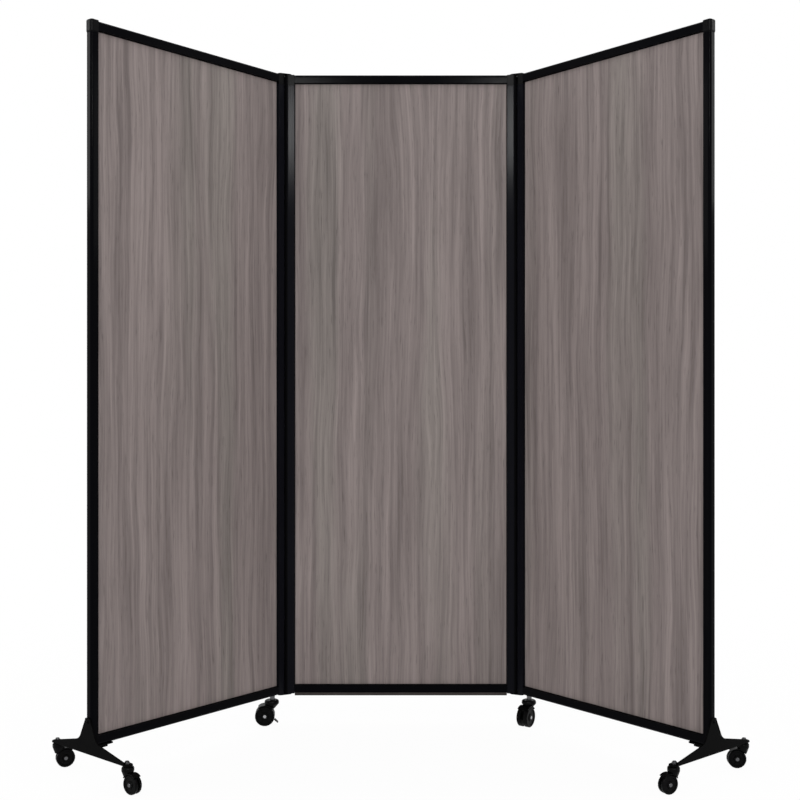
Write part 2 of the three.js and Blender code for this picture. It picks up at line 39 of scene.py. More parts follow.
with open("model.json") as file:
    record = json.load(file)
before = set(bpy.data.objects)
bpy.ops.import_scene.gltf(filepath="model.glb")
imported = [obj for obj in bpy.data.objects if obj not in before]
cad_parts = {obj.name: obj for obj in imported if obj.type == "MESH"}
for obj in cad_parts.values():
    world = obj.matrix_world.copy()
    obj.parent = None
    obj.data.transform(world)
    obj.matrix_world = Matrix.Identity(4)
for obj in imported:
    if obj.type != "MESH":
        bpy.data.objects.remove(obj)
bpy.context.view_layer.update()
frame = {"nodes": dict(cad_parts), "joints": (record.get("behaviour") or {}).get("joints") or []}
NODES = frame["nodes"]
JOINTS = {joint["name"]: joint for joint in frame["joints"]}
SIDES = {"left": -1, "right": 1}
PANELS = ("centre", *SIDES)
LEG_ENDS = ("front", "rear")
CASTORS = (*LEG_ENDS, "hinge")

SUNK = 0.0001  # how far a small piece's foot stands in what carries it
SHARP = math.radians(40)  # edges that turn more than this stay sharp
ARC_POINTS = 6  # points on a small quarter round
RIB_POINTS = 9  # points across a rib, and along a wheel's rib
RUN_END = 0.02  # share of a bead's or a lever rib's length that is left off at each end

BEAD_HEIGHT_SHARE = 0.75  # height of a gasket's bead in shares of its width
# The strip sized below is painted reflection: grey for the floor's reflection on the centre bottom
# rail's lower edge
STRIP_WALL = 0.0004  # wall of the edge strip's lip
STRIP_LIP = 0.0030  # how far the lip stands up the rail's front
STRIP_DEPTH = 0.0066  # how far the strip hangs under the rail
STRIP_END = 0.0010  # ends of the strip, back from the stiles
WIPER = 0.00115  # thickness of the felt round a nose
WIPER_TURN = math.radians(80)  # how far round the nose it runs, either way
WIPER_THINNING = 0.1  # power that thins the felt at its two ends
WIPER_POINTS = 33
WIPER_DROP_SHARE = 0.4  # felt's top under the cap's, in shares of the nose's radius
SCREW_DOME = 1.1  # how far a screw head's dome turns, in radians
SCREW_RECESS_SHARES = ((0.42, 0.48), (0.40, 0.16))  # radius and height at its mouth and floor
RIVET_DOME = 1.4  # how far a rivet head's dome turns, in radians
PLATE = 0.0035  # thickness of a leg's web and of its tongues
WELD_LENGTH = 0.0125  # from a leg castor's stem back along its arm
WELD_WAIST_SHARE = 0.85  # least width of a weld bead between its ripples
STEM = 0.0051  # radius at the bottom of a stem's thread
THREAD_SHOWN = 0.0026  # stem over its nut
THREAD_DEPTH_SHARE = 0.25  # depth of the thread in shares of its pitch
THREAD_START_SHARE = 0.4  # height over which it begins and ends, in shares of its pitch
THREAD_POINTS = (33, 36)  # up the thread and round it
LEG_HUB = 0.010  # hub radius of a leg castor's wheel
HINGE_HUB = 0.012  # hub radius of a hinge castor's wheel
DISH = 0.0024  # depth of a wheel's dish
RIM_FACE = 0.0065  # from a wheel's rim to the flat of its dish
RIB_WIDTH = 0.0016
SPOKES = 6
RIB_MARGIN = 0.0012  # ends of a lever's ribs, in from the foot's sides
LEVER_RIB_SHARES = (0.22, 0.50, 0.78)  # places of the ribs along a lever's foot

COAT_IOR = 1.09
PLASTIC_IOR = 1.13
FELT_IOR = 1.05
RUBBED = (0.020, 0.020, 0.021)  # specks where the legs' coat is rubbed
GRAIN_SHIFTS = {"centre": (0.0, 0.0, 0.0), "left": (3.1, 5.0, 1.3), "right": (7.4, 9.0, 2.9)}

KEY_LAMP = ((0.72, -3.4, 2.70), (0.35, 0.3, 1.8), (0.4, 0.5))  # place and aim on the right, size
SIDE_LAMP = ((2.6, -0.2, 2.3), (0.7, 0.0, 1.5), (0.5, 1.0))
FLOOR_REACH = 40.0
FLOOR_FADE = (1.2, 3.2)  # distances over which the floor turns wholly white
FLOOR_WHITE = 0.96  # how white the floor looks nearer than that


def board_face():
    """Half the thickness of a board, from the centre board's box."""
    low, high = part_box("centre_board")
    return (high.y - low.y) / 2


def joint_place(name):
    """Where a joint's axis stands in the plan."""
    x, y, _ = JOINTS[name]["pos_m"]
    return np.array([x, y])


def wing_turn(side):
    """A wing's direction in the plan: twice as far from straight as its links' direction."""
    straight = 0 if side == "right" else math.pi
    along = joint_place(f"{side}_wing_fold") - joint_place(f"{side}_link_fold")
    link = math.atan2(along[1], along[0]) % math.tau
    link -= math.tau if side == "right" else 0
    return straight + 2 * (link - straight)


def placed(points, origin, turn):
    """Points turned about +Z by an angle and moved to an origin in the plan."""
    c, s = math.cos(turn), math.sin(turn)
    x, y, z = np.moveaxis(points, -1, 0)
    return np.stack([origin[0] + c * x - s * y, origin[1] + s * x + c * y, z], axis=-1)


def on_panel(points, panel):
    """Points in a panel's own frame, x along the panel and y across it, put in the row frame."""
    if panel == "centre":
        low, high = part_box("centre_board")
        return placed(points, ((low.x + high.x) / 2, (low.y + high.y) / 2), 0.0)
    return placed(points, joint_place(f"{panel}_wing_fold"), wing_turn(panel))


def panel_turn(panel):
    """Angle of a panel in the plan."""
    return 0.0 if panel == "centre" else wing_turn(panel)


def panel_body(panel):
    """The body that a panel's pieces ride on."""
    return "centre_panel" if panel == "centre" else f"{panel}_wing"


def node_points(name):
    """A node's vertices as an array."""
    mesh = NODES[name].data
    points = np.empty(len(mesh.vertices) * 3, dtype=np.float32)
    mesh.vertices.foreach_get("co", points)
    return points.reshape(-1, 3).astype(float)


def in_panel(name, panel):
    """Lowest and highest corner of a node in its panel's own frame."""
    points = node_points(name)
    origin = on_panel(np.zeros(3), panel)[:2]
    turn = -panel_turn(panel)
    local = placed(points - [origin[0], origin[1], 0], (0, 0), turn)
    return local.min(axis=0), local.max(axis=0)


def skin(rings, looped=False):
    """Quads between neighbouring rings of points, an array of rings by points by 3.

    Face (i, j) joins points j and j + 1 of ring i with the same points of ring i + 1. The
    path closes on itself if it is looped, and otherwise each end ring becomes one flat face.
    """
    rings = np.asarray(rings, dtype=float)
    count, size = rings.shape[:2]
    i = np.arange(count if looped else count - 1)[:, None]
    j = np.arange(size)[None, :]
    after, beside = (i + 1) % count, (j + 1) % size
    quads = np.stack(
        [i * size + j, i * size + beside, after * size + beside, after * size + j], axis=-1
    ).reshape(-1, 4)
    points = rings.reshape(-1, 3)
    if enclosed(points, quads) < 0:
        quads = quads[:, ::-1]
    faces = quads.tolist()
    if not looped:
        lids = [np.arange(size), np.arange(size) + (count - 1) * size]
        for lid, inner in zip(lids, (rings[1], rings[-2])):
            corners = points[lid]
            out = corners.mean(axis=0) - inner.mean(axis=0)
            normal = np.cross(corners, np.roll(corners, -1, axis=0)).sum(axis=0)
            faces.append((lid if normal @ out > 0 else lid[::-1]).tolist())
    return points, faces


def enclosed(points, quads):
    """Signed volume under the quads, which is positive where they face outwards."""
    middle = points.mean(axis=0)
    a, b, c, d = np.moveaxis(points[quads] - middle, 1, 0)
    return (np.cross(a, b) * c).sum() + (np.cross(a, c) * d).sum()


def turned(profile, steps):
    """Rings of a profile of (radius, height) turned about +Z: (r cos t, r sin t, h)."""
    radius, height = np.asarray(profile, dtype=float).T[:, :, None]
    t = np.linspace(0, math.tau, steps, endpoint=False)[None, :]
    return np.stack([radius * np.cos(t), radius * np.sin(t), height + 0 * t], axis=-1)


def tilted(points, toward):
    """Points made about +Z laid so that +Z points along a level direction in the plan."""
    across = np.array([-toward[1], toward[0], 0.0])
    out = np.array([toward[0], toward[1], 0.0])
    up = np.array([0.0, 0.0, 1.0])
    x, y, z = np.moveaxis(points, -1, 0)
    return x[..., None] * across + y[..., None] * up + z[..., None] * out


def run(count):
    """Shares of the way along a bead or a rib, in a column, short of both ends."""
    return np.linspace(RUN_END, 1 - RUN_END, count)[:, None]


def faded(s):
    """1 over most of a run and down to nothing at both ends: (1 - (2 s - 1)^8)^(1/2)."""
    return np.sqrt(1 - (2 * s - 1) ** 8)


def made(name, parts, body, finish):
    """One object from several closed skins, riding on a body, with its finish."""
    points, faces, start = [], [], 0
    for part_points, part_faces in parts:
        points.append(part_points)
        faces += [[corner + start for corner in face] for face in part_faces]
        start += len(part_points)
    mesh = bpy.data.meshes.new(name)
    mesh.from_pydata(np.concatenate(points), [], faces)
    mesh.shade_smooth()
    mesh.set_sharp_from_angle(angle=SHARP)
    mesh.materials.append(finish)
    piece = bpy.data.objects.new(name, mesh)
    bpy.context.scene.collection.objects.link(piece)
    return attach(piece, body)


class Signal:
    """A shader socket that Python expressions can be written on."""

    def __init__(self, tree, socket):
        self.tree = tree
        self.socket = socket

    def plug(self, value, into):
        """A link or a number into a socket."""
        if isinstance(value, Signal):
            self.tree.links.new(value.socket, into)
        else:
            into.default_value = value

    def maths(self, operation, first, second=0.0):
        """One Math node on two terms."""
        node = self.tree.nodes.new("ShaderNodeMath")
        node.operation = operation
        self.plug(first, node.inputs[0])
        self.plug(second, node.inputs[1])
        return Signal(self.tree, node.outputs[0])

    def __add__(self, other):
        return self.maths("ADD", self, other)

    def __sub__(self, other):
        return self.maths("SUBTRACT", self, other)

    def __mul__(self, other):
        return self.maths("MULTIPLY", self, other)

    __radd__ = __add__
    __rmul__ = __mul__

    def most(self, other):
        """The larger of two signals."""
        return self.maths("MAXIMUM", self, other)

    def between(self, low, high):
        """Smoothly 0 at low and 1 at high."""
        node = self.tree.nodes.new("ShaderNodeMapRange")
        node.interpolation_type = "SMOOTHSTEP"
        self.plug(self, node.inputs["Value"])
        node.inputs["From Min"].default_value = low
        node.inputs["From Max"].default_value = high
        return Signal(self.tree, node.outputs["Result"])


def eye_rays(tree):
    """1 for the rays of an eye, a reflection or a transmission, and 0 for light."""
    path = tree.nodes.new("ShaderNodeLightPath")
    camera, gloss, through = (
        Signal(tree, path.outputs[name])
        for name in ("Is Camera Ray", "Is Glossy Ray", "Is Transmission Ray")
    )
    return camera.most(gloss).most(through)


def shades(colour, low=0.7, high=1.5):
    """A darker and a lighter shade of a colour."""
    return [c * low for c in colour], [c * high for c in colour]


class Finish:
    """A material under construction, with one Principled shader."""

    def __init__(self, name, **constants):
        self.material = bpy.data.materials.new(name)
        self.material.use_nodes = True
        self.tree = self.material.node_tree
        self.shader = self.tree.nodes["Principled BSDF"]
        self.where = self.node("ShaderNodeTexCoord", output="Object")
        for socket, value in constants.items():
            self.shader.inputs[socket.replace("_", " ")].default_value = value

    def node(self, kind, settings=(), output=0, **values):
        """Any node: its settings, then the values or links of its sockets by name or number."""
        made_node = self.tree.nodes.new(kind)
        for key, value in dict(settings).items():
            setattr(made_node, key, value)
        signal = Signal(self.tree, None)
        for key, value in values.items():
            name = int(key[1:]) if key[0] == "_" else key.replace("_", " ")
            signal.plug(value, made_node.inputs[name])
        return Signal(self.tree, made_node.outputs[output])

    def stretched(self, scale, turn=0.0, shift=(0.0, 0.0, 0.0)):
        """Object coordinates turned into a panel's own frame and scaled per axis."""
        straight = self.where
        if turn:
            straight = self.node(
                "ShaderNodeMapping", {}, Vector=self.where, Rotation=(0.0, 0.0, -turn)
            )
        return self.node(
            "ShaderNodeMapping", {}, Vector=straight, Scale=scale, Location=shift
        )

    def noise(self, vector, detail=2.0, roughness=0.5, distortion=0.0):
        """Fractal noise from 0 to 1."""
        return self.node(
            "ShaderNodeTexNoise",
            {},
            Vector=vector,
            Scale=1.0,
            Detail=detail,
            Roughness=roughness,
            Distortion=distortion,
        )

    def mix(self, factor, first, second):
        """Colour between two colours."""
        first, second = (
            colour if isinstance(colour, Signal) else (*colour, 1.0) for colour in (first, second)
        )
        return self.node(
            "ShaderNodeMix", {"data_type": "RGBA"}, output=2, _0=factor, _6=first, _7=second
        )

    def feed(self, socket, value):
        """What changes over the surface into one of the shader's sockets."""
        self.tree.links.new(value.socket, self.shader.inputs[socket])

    def relief(self, height, distance, strength=1.0, edge=None):
        """Bump from a height in shares of a distance, over edges rounded by a radius."""
        values = {"Height": height, "Distance": distance, "Strength": strength}
        if edge:
            values["Normal"] = self.node("ShaderNodeBevel", {"samples": 4}, Radius=edge)
        self.feed("Normal", self.node("ShaderNodeBump", {}, **values))


def wear(nodes, finish):
    """Gives nodes a finish in place of the plain one."""
    for name in nodes:
        slots = NODES[name].data.materials
        slots.clear()
        slots.append(finish)


def colour_setting(name, description, default):
    """A colour that the sidebar shows."""
    return bpy.props.FloatVectorProperty(
        name=name, description=description, default=default, size=3, subtype="COLOR", min=0, max=1
    )


def length_setting(name, description, default):
    """A length that the sidebar shows."""
    return bpy.props.FloatProperty(
        name=name, description=description, default=default, min=0, unit="LENGTH"
    )


def share_setting(name, description, default):
    """A share from 0 to 1 that the sidebar shows."""
    return bpy.props.FloatProperty(
        name=name, description=description, default=default, min=0, max=1, subtype="FACTOR"
    )


class ScreenBoards(bpy.types.PropertyGroup):
    """Wood-grain laminate of the three boards."""

    light: colour_setting("Light grain", "Lightest streaks of the laminate", (0.318, 0.269, 0.259))
    dark: colour_setting("Dark grain", "Darkest streaks of the laminate", (0.160, 0.134, 0.130))
    band: colour_setting("Broad bands", "Tone of the wide green-grey bands", (0.225, 0.206, 0.188))
    roughness: share_setting("Roughness", "Satin sheen of the laminate", 0.5)


class ScreenMetal(bpy.types.PropertyGroup):
    """Powder coats and plating."""

    coat: colour_setting("Frame coat", "Gloss black powder coat", (0.0010, 0.0010, 0.0017))
    # A lighter, bluer copy of the frame coat: painted sheen for the reflections that run down the
    # hinge stiles
    stile_sheen_coat: colour_setting("Stile coat", "Powder coat of the hinge stiles", (0.0048, 0.0049, 0.0070))
    leg_coat: colour_setting("Leg coat", "Matte black powder coat", (0.0013, 0.0013, 0.0014))
    # Lighter plating given only to the hinge castors' axles: painted highlight for the brighter
    # glint on their hubs; the leg castors' axles take the dark zinc
    zinc: colour_setting("Zinc", "Plating of the hinge castors' axles", (0.36, 0.36, 0.37))
    dark_zinc: colour_setting("Dark zinc", "Plating of stems, nuts and axles", (0.110, 0.110, 0.114))
    edge: length_setting("Edge rounding", "Rounding of the sections' edges", 0.0008)


class ScreenPlastic(bpy.types.PropertyGroup):
    """Moulded parts, wheels and gaskets."""

    cap: colour_setting("Caps", "Moulded caps", (0.0024, 0.0024, 0.0028))
    nylon: colour_setting("Castors", "Hoods and brake levers", (0.0017, 0.0017, 0.0018))
    wheel: colour_setting("Wheels", "Nylon wheels", (0.0018, 0.0018, 0.0019))
    # painted reflection: grey of the floor's reflection on the lower edge of the centre bottom rail
    strip: colour_setting("Edge strip", "Strip under the centre rail", (0.044, 0.038, 0.036))
    rubber: colour_setting("Gaskets", "Beads round the boards", (0.0030, 0.0030, 0.0033))
    edge: length_setting("Edge rounding", "Rounding of the moulded edges", 0.0006)


class ScreenTrim(bpy.types.PropertyGroup):
    """Sizes of the small pieces."""

    bead: length_setting("Bead width", "Gasket's width over the board", 0.0020)
    screw: length_setting("Screw head", "Radius of the leg screws' heads", 0.0045)
    screw_height: length_setting("Screw height", "Height of the leg screws", 0.155)
    weld: length_setting("Weld", "Width of the weld beads", 0.0022)
    ripple: length_setting("Weld ripple", "Pitch of the ripples on a bead", 0.0012)
    thread: length_setting("Thread", "Pitch of the stems' thread", 0.0012)
    spoke: length_setting("Spoke", "Height of the ribs in a wheel's dish", 0.0013)
    rib: length_setting("Lever rib", "Height of a brake lever's ribs", 0.0007)
    rivet: length_setting("Rivet head", "Radius of the pins' heads under the links", 0.0055)


class ScreenStudio(bpy.types.PropertyGroup):
    """Camera, floor and lamps."""

    place: bpy.props.FloatVectorProperty(
        name="Camera",
        description="Where the camera stands, from the foot of the centre board",
        default=(0.0, -3.6496, 1.0383),
        size=3,
        unit="LENGTH",
    )
    lens: bpy.props.FloatProperty(
        name="Lens", description="Focal length", default=52.25, unit="CAMERA"
    )
    shift: bpy.props.FloatVectorProperty(
        name="Shift", description="Lens shift", default=(-0.001, -0.0116), size=2
    )
    room: bpy.props.FloatProperty(
        name="Room light", description="Even light of the room", default=1.06, min=0
    )
    key: bpy.props.FloatProperty(
        name="Key lights", description="Lamps over the camera", default=34.0, min=0, unit="POWER"
    )
    side: bpy.props.FloatProperty(
        name="Side lights", description="Lamps at the two sides", default=9.0, min=0, unit="POWER"
    )


def laminate(panel, settings):
    """Vertical wood grain: streaks stretched along +Z, warped by slow waves, over broad bands."""
    finish = Finish(f"grey_oak_laminate_{panel}", Specular_IOR_Level=0.05)
    shift = GRAIN_SHIFTS[panel]
    turn = panel_turn(panel)
    slow = finish.noise(finish.stretched((7.0, 20.0, 1.3), turn, shift), detail=2.0)
    wander = finish.noise(finish.stretched((24.0, 20.0, 7.0), turn, shift), detail=2.0)
    plain = finish.stretched((1.0, 1.0, 1.0), turn, shift)
    axes = finish.node("ShaderNodeSeparateXYZ", {}, output=0, Vector=plain)
    depth = Signal(finish.tree, axes.socket.node.outputs[1])
    height = Signal(finish.tree, axes.socket.node.outputs[2])
    across = axes + (slow - 0.5) * 0.060 + (wander - 0.5) * 0.004

    def streaks(width, length, detail, roughness=0.55):
        """Noise whose features are about width across and length along the grain."""
        vector = finish.node(
            "ShaderNodeCombineXYZ",
            {},
            X=across * (0.5 / width),
            Y=depth * 40.0,
            Z=height * (0.5 / length),
        )
        return finish.noise(vector, detail=detail, roughness=roughness)

    fine = streaks(0.0032, 0.16, 3.0, 0.66)
    medium = streaks(0.012, 0.60, 3.0)
    broad = streaks(0.050, 0.5, 2.0)
    pores = streaks(0.0016, 0.028, 2.0)
    rings = finish.node(
        "ShaderNodeTexWave",
        {"bands_direction": "X"},
        output="Fac",
        Vector=finish.node(
            "ShaderNodeCombineXYZ", {}, X=across * 9.0, Y=depth * 9.0, Z=height * 0.45
        ),
        Scale=1.0,
        Distortion=9.0,
        Detail=2.0,
        Detail_Scale=0.9,
    )
    tone = (
        0.5
        + (fine - 0.5) * 1.45
        + (medium - 0.5) * 1.5
        + (broad - 0.5) * 0.6
        + (rings - 0.5) * 0.16
        - pores.between(0.58, 0.74) * 0.42
    )
    grain = finish.mix(tone, settings.dark, settings.light)
    bands = streaks(0.075, 1.6, 1.0).between(0.52, 0.70) * 0.5
    banded = finish.mix(tone, *shades(settings.band, 0.62, 1.34))
    finish.feed("Base Color", finish.mix(bands, grain, banded))
    finish.feed("Roughness", settings.roughness + (fine - 0.5) * 0.22)
    finish.relief(tone - pores.between(0.62, 0.80), 0.00012, 0.35)
    return finish.material


def powder_coat(name, colour, settings, lines, turn=0.0):
    """Gloss coat over a drawn section: orange peel and faint lines along the section."""
    finish = Finish(name, IOR=COAT_IOR)
    peel = finish.noise(finish.stretched((520.0, 520.0, 520.0)), detail=1.0)
    drawn = finish.noise(finish.stretched(lines, turn), detail=2.0)
    cloud = finish.noise(finish.stretched((9.0, 9.0, 5.0)), detail=3.0)
    finish.feed("Base Color", finish.mix(cloud * 0.6 + drawn * 0.4, *shades(colour)))
    finish.feed("Roughness", 0.11 + cloud * 0.06 + (drawn - 0.5) * 0.06)
    finish.relief(peel * 0.6 + drawn * 0.4, 0.00004, 0.3, settings.edge)
    return finish.material


def leg_coat(settings, name="matte_powder_coat"):
    """Matte coat with a sandy texture and lighter rubbed specks."""
    finish = Finish(name, IOR=COAT_IOR)
    sand = finish.noise(finish.stretched((900.0, 900.0, 900.0)), detail=2.0)
    cloud = finish.noise(finish.stretched((14.0, 14.0, 14.0)), detail=4.0, roughness=0.6)
    specks = finish.noise(finish.stretched((260.0,) * 3), detail=1.0).between(0.68, 0.80)
    base = finish.mix(cloud, *shades(settings.leg_coat))
    finish.feed("Base Color", finish.mix(specks * cloud * 0.35, base, RUBBED))
    finish.feed("Roughness", 0.48 + sand * 0.18 + (cloud - 0.5) * 0.2)
    finish.relief(sand, 0.00012, 0.6, settings.edge)
    return finish.material


def plating(name, colour):
    """Zinc plate: cool spangle and short brushed scratches."""
    finish = Finish(name, Metallic=1.0)
    spangle = finish.node(
        "ShaderNodeTexVoronoi", {}, output="Color", Vector=finish.stretched((260.0,) * 3), Scale=1.0
    )
    tone = finish.node("ShaderNodeSeparateColor", {}, output=0, Color=spangle)
    scratch = finish.noise(finish.stretched((300.0, 300.0, 2200.0)), detail=2.0)
    finish.feed("Base Color", finish.mix(tone * 0.5 + scratch * 0.5, *shades(colour, 0.72, 1.25)))
    finish.feed("Roughness", 0.26 + tone * 0.14 + (scratch - 0.5) * 0.16)
    finish.relief(scratch, 0.00004, 0.5)
    return finish.material


def moulded(name, colour, roughness, grain, edge=None, ior=PLASTIC_IOR):
    """Moulded plastic: fine spark grain, soft flow clouds, rounded edges."""
    finish = Finish(name, IOR=ior)
    cells = finish.node(
        "ShaderNodeTexVoronoi",
        {"feature": "SMOOTH_F1"},
        output="Distance",
        Vector=finish.stretched((grain,) * 3),
        Scale=1.0,
    )
    flow = finish.noise(finish.stretched((30.0, 30.0, 18.0)), detail=3.0, distortion=0.6)
    finish.feed("Base Color", finish.mix(flow, *shades(colour)))
    finish.feed("Roughness", roughness + (flow - 0.5) * 0.18 + (cells - 0.4) * 0.08)
    finish.relief(cells, 0.00006, 0.5, edge)
    return finish.material


class ScreenOperator(bpy.types.Operator):
    """Base of the screen's operators."""

    bl_options = {"REGISTER", "UNDO"}


class SCREEN_OT_boards(ScreenOperator):
    """Give the three boards their wood-grain laminate"""

    bl_idname = "screen.laminate_boards"
    bl_label = "Laminate Boards"

    def execute(self, context):
        for panel in PANELS:
            wear([f"{panel}_board"], laminate(panel, context.scene.screen_boards))
        return {"FINISHED"}


class SCREEN_OT_sections(ScreenOperator):
    """Give the rails, stiles and end posts their gloss coat"""

    bl_idname = "screen.coat_sections"
    bl_label = "Coat Sections"

    def execute(self, context):
        settings = context.scene.screen_metal
        along_z, along_x = (420.0, 420.0, 2.0), (2.0, 420.0, 420.0)
        post = powder_coat("gloss_coat_posts", settings.coat, settings, along_z)
        # the hinge stiles get the lighter copy of the coat, a painted sheen
        stile_sheen_coat = powder_coat("stile_coat_painted_sheen", settings.stile_sheen_coat, settings, along_z)
        for side in SIDES:
            wear([f"centre_{side}_stile", f"{side}_hinge_stile"], stile_sheen_coat)
            wear([f"{side}_end_post"], post)
        for panel in PANELS:
            name = f"gloss_coat_{panel}_rails"
            coat = powder_coat(name, settings.coat, settings, along_x, panel_turn(panel))
            wear([f"{panel}_top_rail", f"{panel}_bottom_rail"], coat)
        return {"FINISHED"}


class SCREEN_OT_caps(ScreenOperator):
    """Give the caps and the hinge links their finish"""

    bl_idname = "screen.finish_caps"
    bl_label = "Finish Caps and Links"

    def execute(self, context):
        plastic, metal = context.scene.screen_plastic, context.scene.screen_metal
        cap = moulded("moulded_cap", plastic.cap, roughness=0.30, grain=1500.0, edge=plastic.edge)
        link = powder_coat("coated_link", metal.leg_coat, metal, (300.0, 300.0, 300.0))
        for side in SIDES:
            caps = [f"centre_{side}_stile_cap", f"{side}_hinge_stile_cap", f"{side}_end_cap"]
            wear(caps, cap)
            wear([f"{side}_hinge_top_link", f"{side}_hinge_bottom_link"], link)
        return {"FINISHED"}


class SCREEN_OT_legs(ScreenOperator):
    """Give the plate legs their matte coat"""

    bl_idname = "screen.coat_legs"
    bl_label = "Coat Legs"

    def execute(self, context):
        wear([f"{side}_leg" for side in SIDES], leg_coat(context.scene.screen_metal))
        return {"FINISHED"}


class SCREEN_OT_castors(ScreenOperator):
    """Give hoods, levers, wheels, axles and stems their finishes"""

    bl_idname = "screen.finish_castors"
    bl_label = "Finish Castors"

    def execute(self, context):
        plastic, metal = context.scene.screen_plastic, context.scene.screen_metal
        edge = plastic.edge
        nylon = moulded("nylon_hood", plastic.nylon, roughness=0.34, grain=900.0, edge=edge)
        lever = moulded("nylon_lever", plastic.nylon, roughness=0.38, grain=1200.0, edge=edge)
        wheel = moulded("nylon_wheel", plastic.wheel, roughness=0.36, grain=700.0, edge=edge)
        glint_zinc = plating("zinc_plate", metal.zinc)
        black = plating("black_zinc_plate", metal.dark_zinc)
        for side in SIDES:
            for end in CASTORS:
                name = f"{side}_{end}_castor"
                wear([f"{name}_hood"], nylon)
                wear([f"{name}_wheel_a", f"{name}_wheel_b"], wheel)
                wear([f"{name}_stem"], black)
                # the hinge castors' axles take the lighter plating and the leg castors' the darker
                # one, a lit and a shaded copy of one plating
                wear([f"{name}_axle"], glint_zinc if end == "hinge" else black)
            wear([f"{side}_hinge_castor_brake_lever"], lever)
        return {"FINISHED"}


def bead_section(width, height):
    """Quarter-round bead in a corner: a flat foot on the board and an arc back to the frame."""
    t = np.linspace(0, math.pi / 2, ARC_POINTS)
    arc = np.stack([width * np.cos(t), height * np.sin(t)], axis=-1)
    return np.concatenate([[[0.0, 0.0]], arc])


class SCREEN_OT_gaskets(ScreenOperator):
    """Lay a rubber bead round each board, on both faces"""

    bl_idname = "screen.lay_gaskets"
    bl_label = "Lay Gaskets"

    def execute(self, context):
        trim, plastic = context.scene.screen_trim, context.scene.screen_plastic
        rubber = moulded("rubber_gasket", plastic.rubber, roughness=0.55, grain=1800.0)
        for panel in PANELS:
            parts = [self.bead(panel, side, trim.bead) for side in (-1, 1)]
            made(f"{panel}_gasket", parts, panel_body(panel), rubber)
        return {"FINISHED"}

    def bead(self, panel, side, width):
        """The bead's section set at the four mitred corners of the visible board.

        A point (a, b) of the section stands a inwards from the frame's edge on both walls of
        the corner, and b out from the board's face.
        """
        (left, _, head), (right, _, _) = in_panel(f"{panel}_top_rail", panel)
        foot = in_panel(f"{panel}_bottom_rail", panel)[1][2]
        a, b = bead_section(width, width * BEAD_HEIGHT_SHARE).T
        face = board_face()
        corners = (
            (left, foot, 1, 1),
            (right, foot, -1, 1),
            (right, head, -1, -1),
            (left, head, 1, -1),
        )
        rings = [
            np.stack([x + along * a, side * (face + b), z + up * a], axis=-1)
            for x, z, along, up in corners
        ]
        return skin(on_panel(np.array(rings), panel), looped=True)


class SCREEN_OT_painted_reflection(ScreenOperator):
    """Clip a grey strip on the lower edge of the centre panel's bottom rail, as painted reflection
    of the floor on that edge
    """

    bl_idname = "screen.clip_edge_strip"
    bl_label = "Clip Edge Strip"

    def execute(self, context):
        plastic = context.scene.screen_plastic
        # the strip's grey is painted reflection of the floor, not a real part
        reflection_finish = moulded("painted_floor_reflection_grey", plastic.strip, roughness=0.5, grain=900.0)
        low, high = in_panel("centre_bottom_rail", "centre")
        section = self.section((high[1] - low[1]) / 2, low[2])
        rings = [
            np.concatenate([np.full((len(section), 1), x), section], axis=-1)
            for x in (low[0] + STRIP_END, high[0] - STRIP_END)
        ]
        strip = skin(on_panel(np.array(rings), "centre"))
        made("centre_rail_reflection_piece", [strip], "centre_panel", reflection_finish)
        return {"FINISHED"}

    def section(self, half, rail_foot):
        """An outline (y, z) under the rail: its lower corners are quarter rounds of the radius
        half / 4, its back is flush with the rail's, and a lip stands on the rail's front.
        """
        t = np.linspace(0, math.pi / 2, ARC_POINTS)
        radius = half / 4
        foot = rail_foot - STRIP_DEPTH
        corner = np.stack([radius * (np.sin(t) - 1), radius * (1 - np.cos(t))], axis=-1)
        front = -half - STRIP_WALL
        seat, lip = rail_foot + SUNK, rail_foot + STRIP_LIP
        inner = half - SUNK
        return np.concatenate([
            corner + (inner, foot),
            [[inner, seat], [-inner, seat], [-inner, lip], [front, lip]],
            (corner * (-1, 1) + (front, foot))[::-1],
        ])


class SCREEN_OT_wipers(ScreenOperator):
    """Bond a felt wiper round each nose of the centre stiles"""

    bl_idname = "screen.bond_wipers"
    bl_label = "Bond Nose Wipers"

    def execute(self, context):
        rubber = context.scene.screen_plastic.rubber
        felt = moulded("black_felt", rubber, roughness=0.9, grain=2400.0, ior=FELT_IOR)
        for side, sign in SIDES.items():
            low, high = in_panel(f"centre_{side}_stile", "centre")
            nose = (high[1] - low[1]) / 2
            crown = in_panel(f"centre_{side}_stile_cap", "centre")[1][2]
            rings = self.rings(nose, low[2], crown - nose * WIPER_DROP_SHARE)
            turn = 0.0 if sign > 0 else math.pi
            wiper = placed(rings, joint_place(f"{side}_link_fold"), turn)
            made(f"{side}_nose_wiper", [skin(wiper)], "centre_panel", felt)
        return {"FINISHED"}

    def rings(self, nose, bottom, top):
        """A crescent between two arcs about the barrel axis, at the bottom and at the top.

        Its outer arc has the nose's radius plus the felt's thickness, thins out to the nose
        over its ends as the cosine of the share of the way round, to the power 0.1, and is
        cut flush with the panel's faces.
        """
        turn = np.linspace(-WIPER_TURN, WIPER_TURN, WIPER_POINTS)
        swell = np.cos(turn / WIPER_TURN * math.pi / 2).clip(0.0, 1.0) ** WIPER_THINNING
        flush = nose / np.abs(np.sin(turn)).clip(0.5)  # the clip keeps it finite in the middle
        outer = np.minimum(nose + WIPER * swell, flush)
        radius = np.concatenate([outer, np.full_like(outer, nose - SUNK)])
        angle = np.concatenate([turn, turn[::-1]])
        section = np.stack([radius * np.cos(angle), radius * np.sin(angle)], axis=-1)
        return np.stack([
            np.concatenate([section, np.full((len(section), 1), height)], axis=-1)
            for height in (bottom, top)
        ])


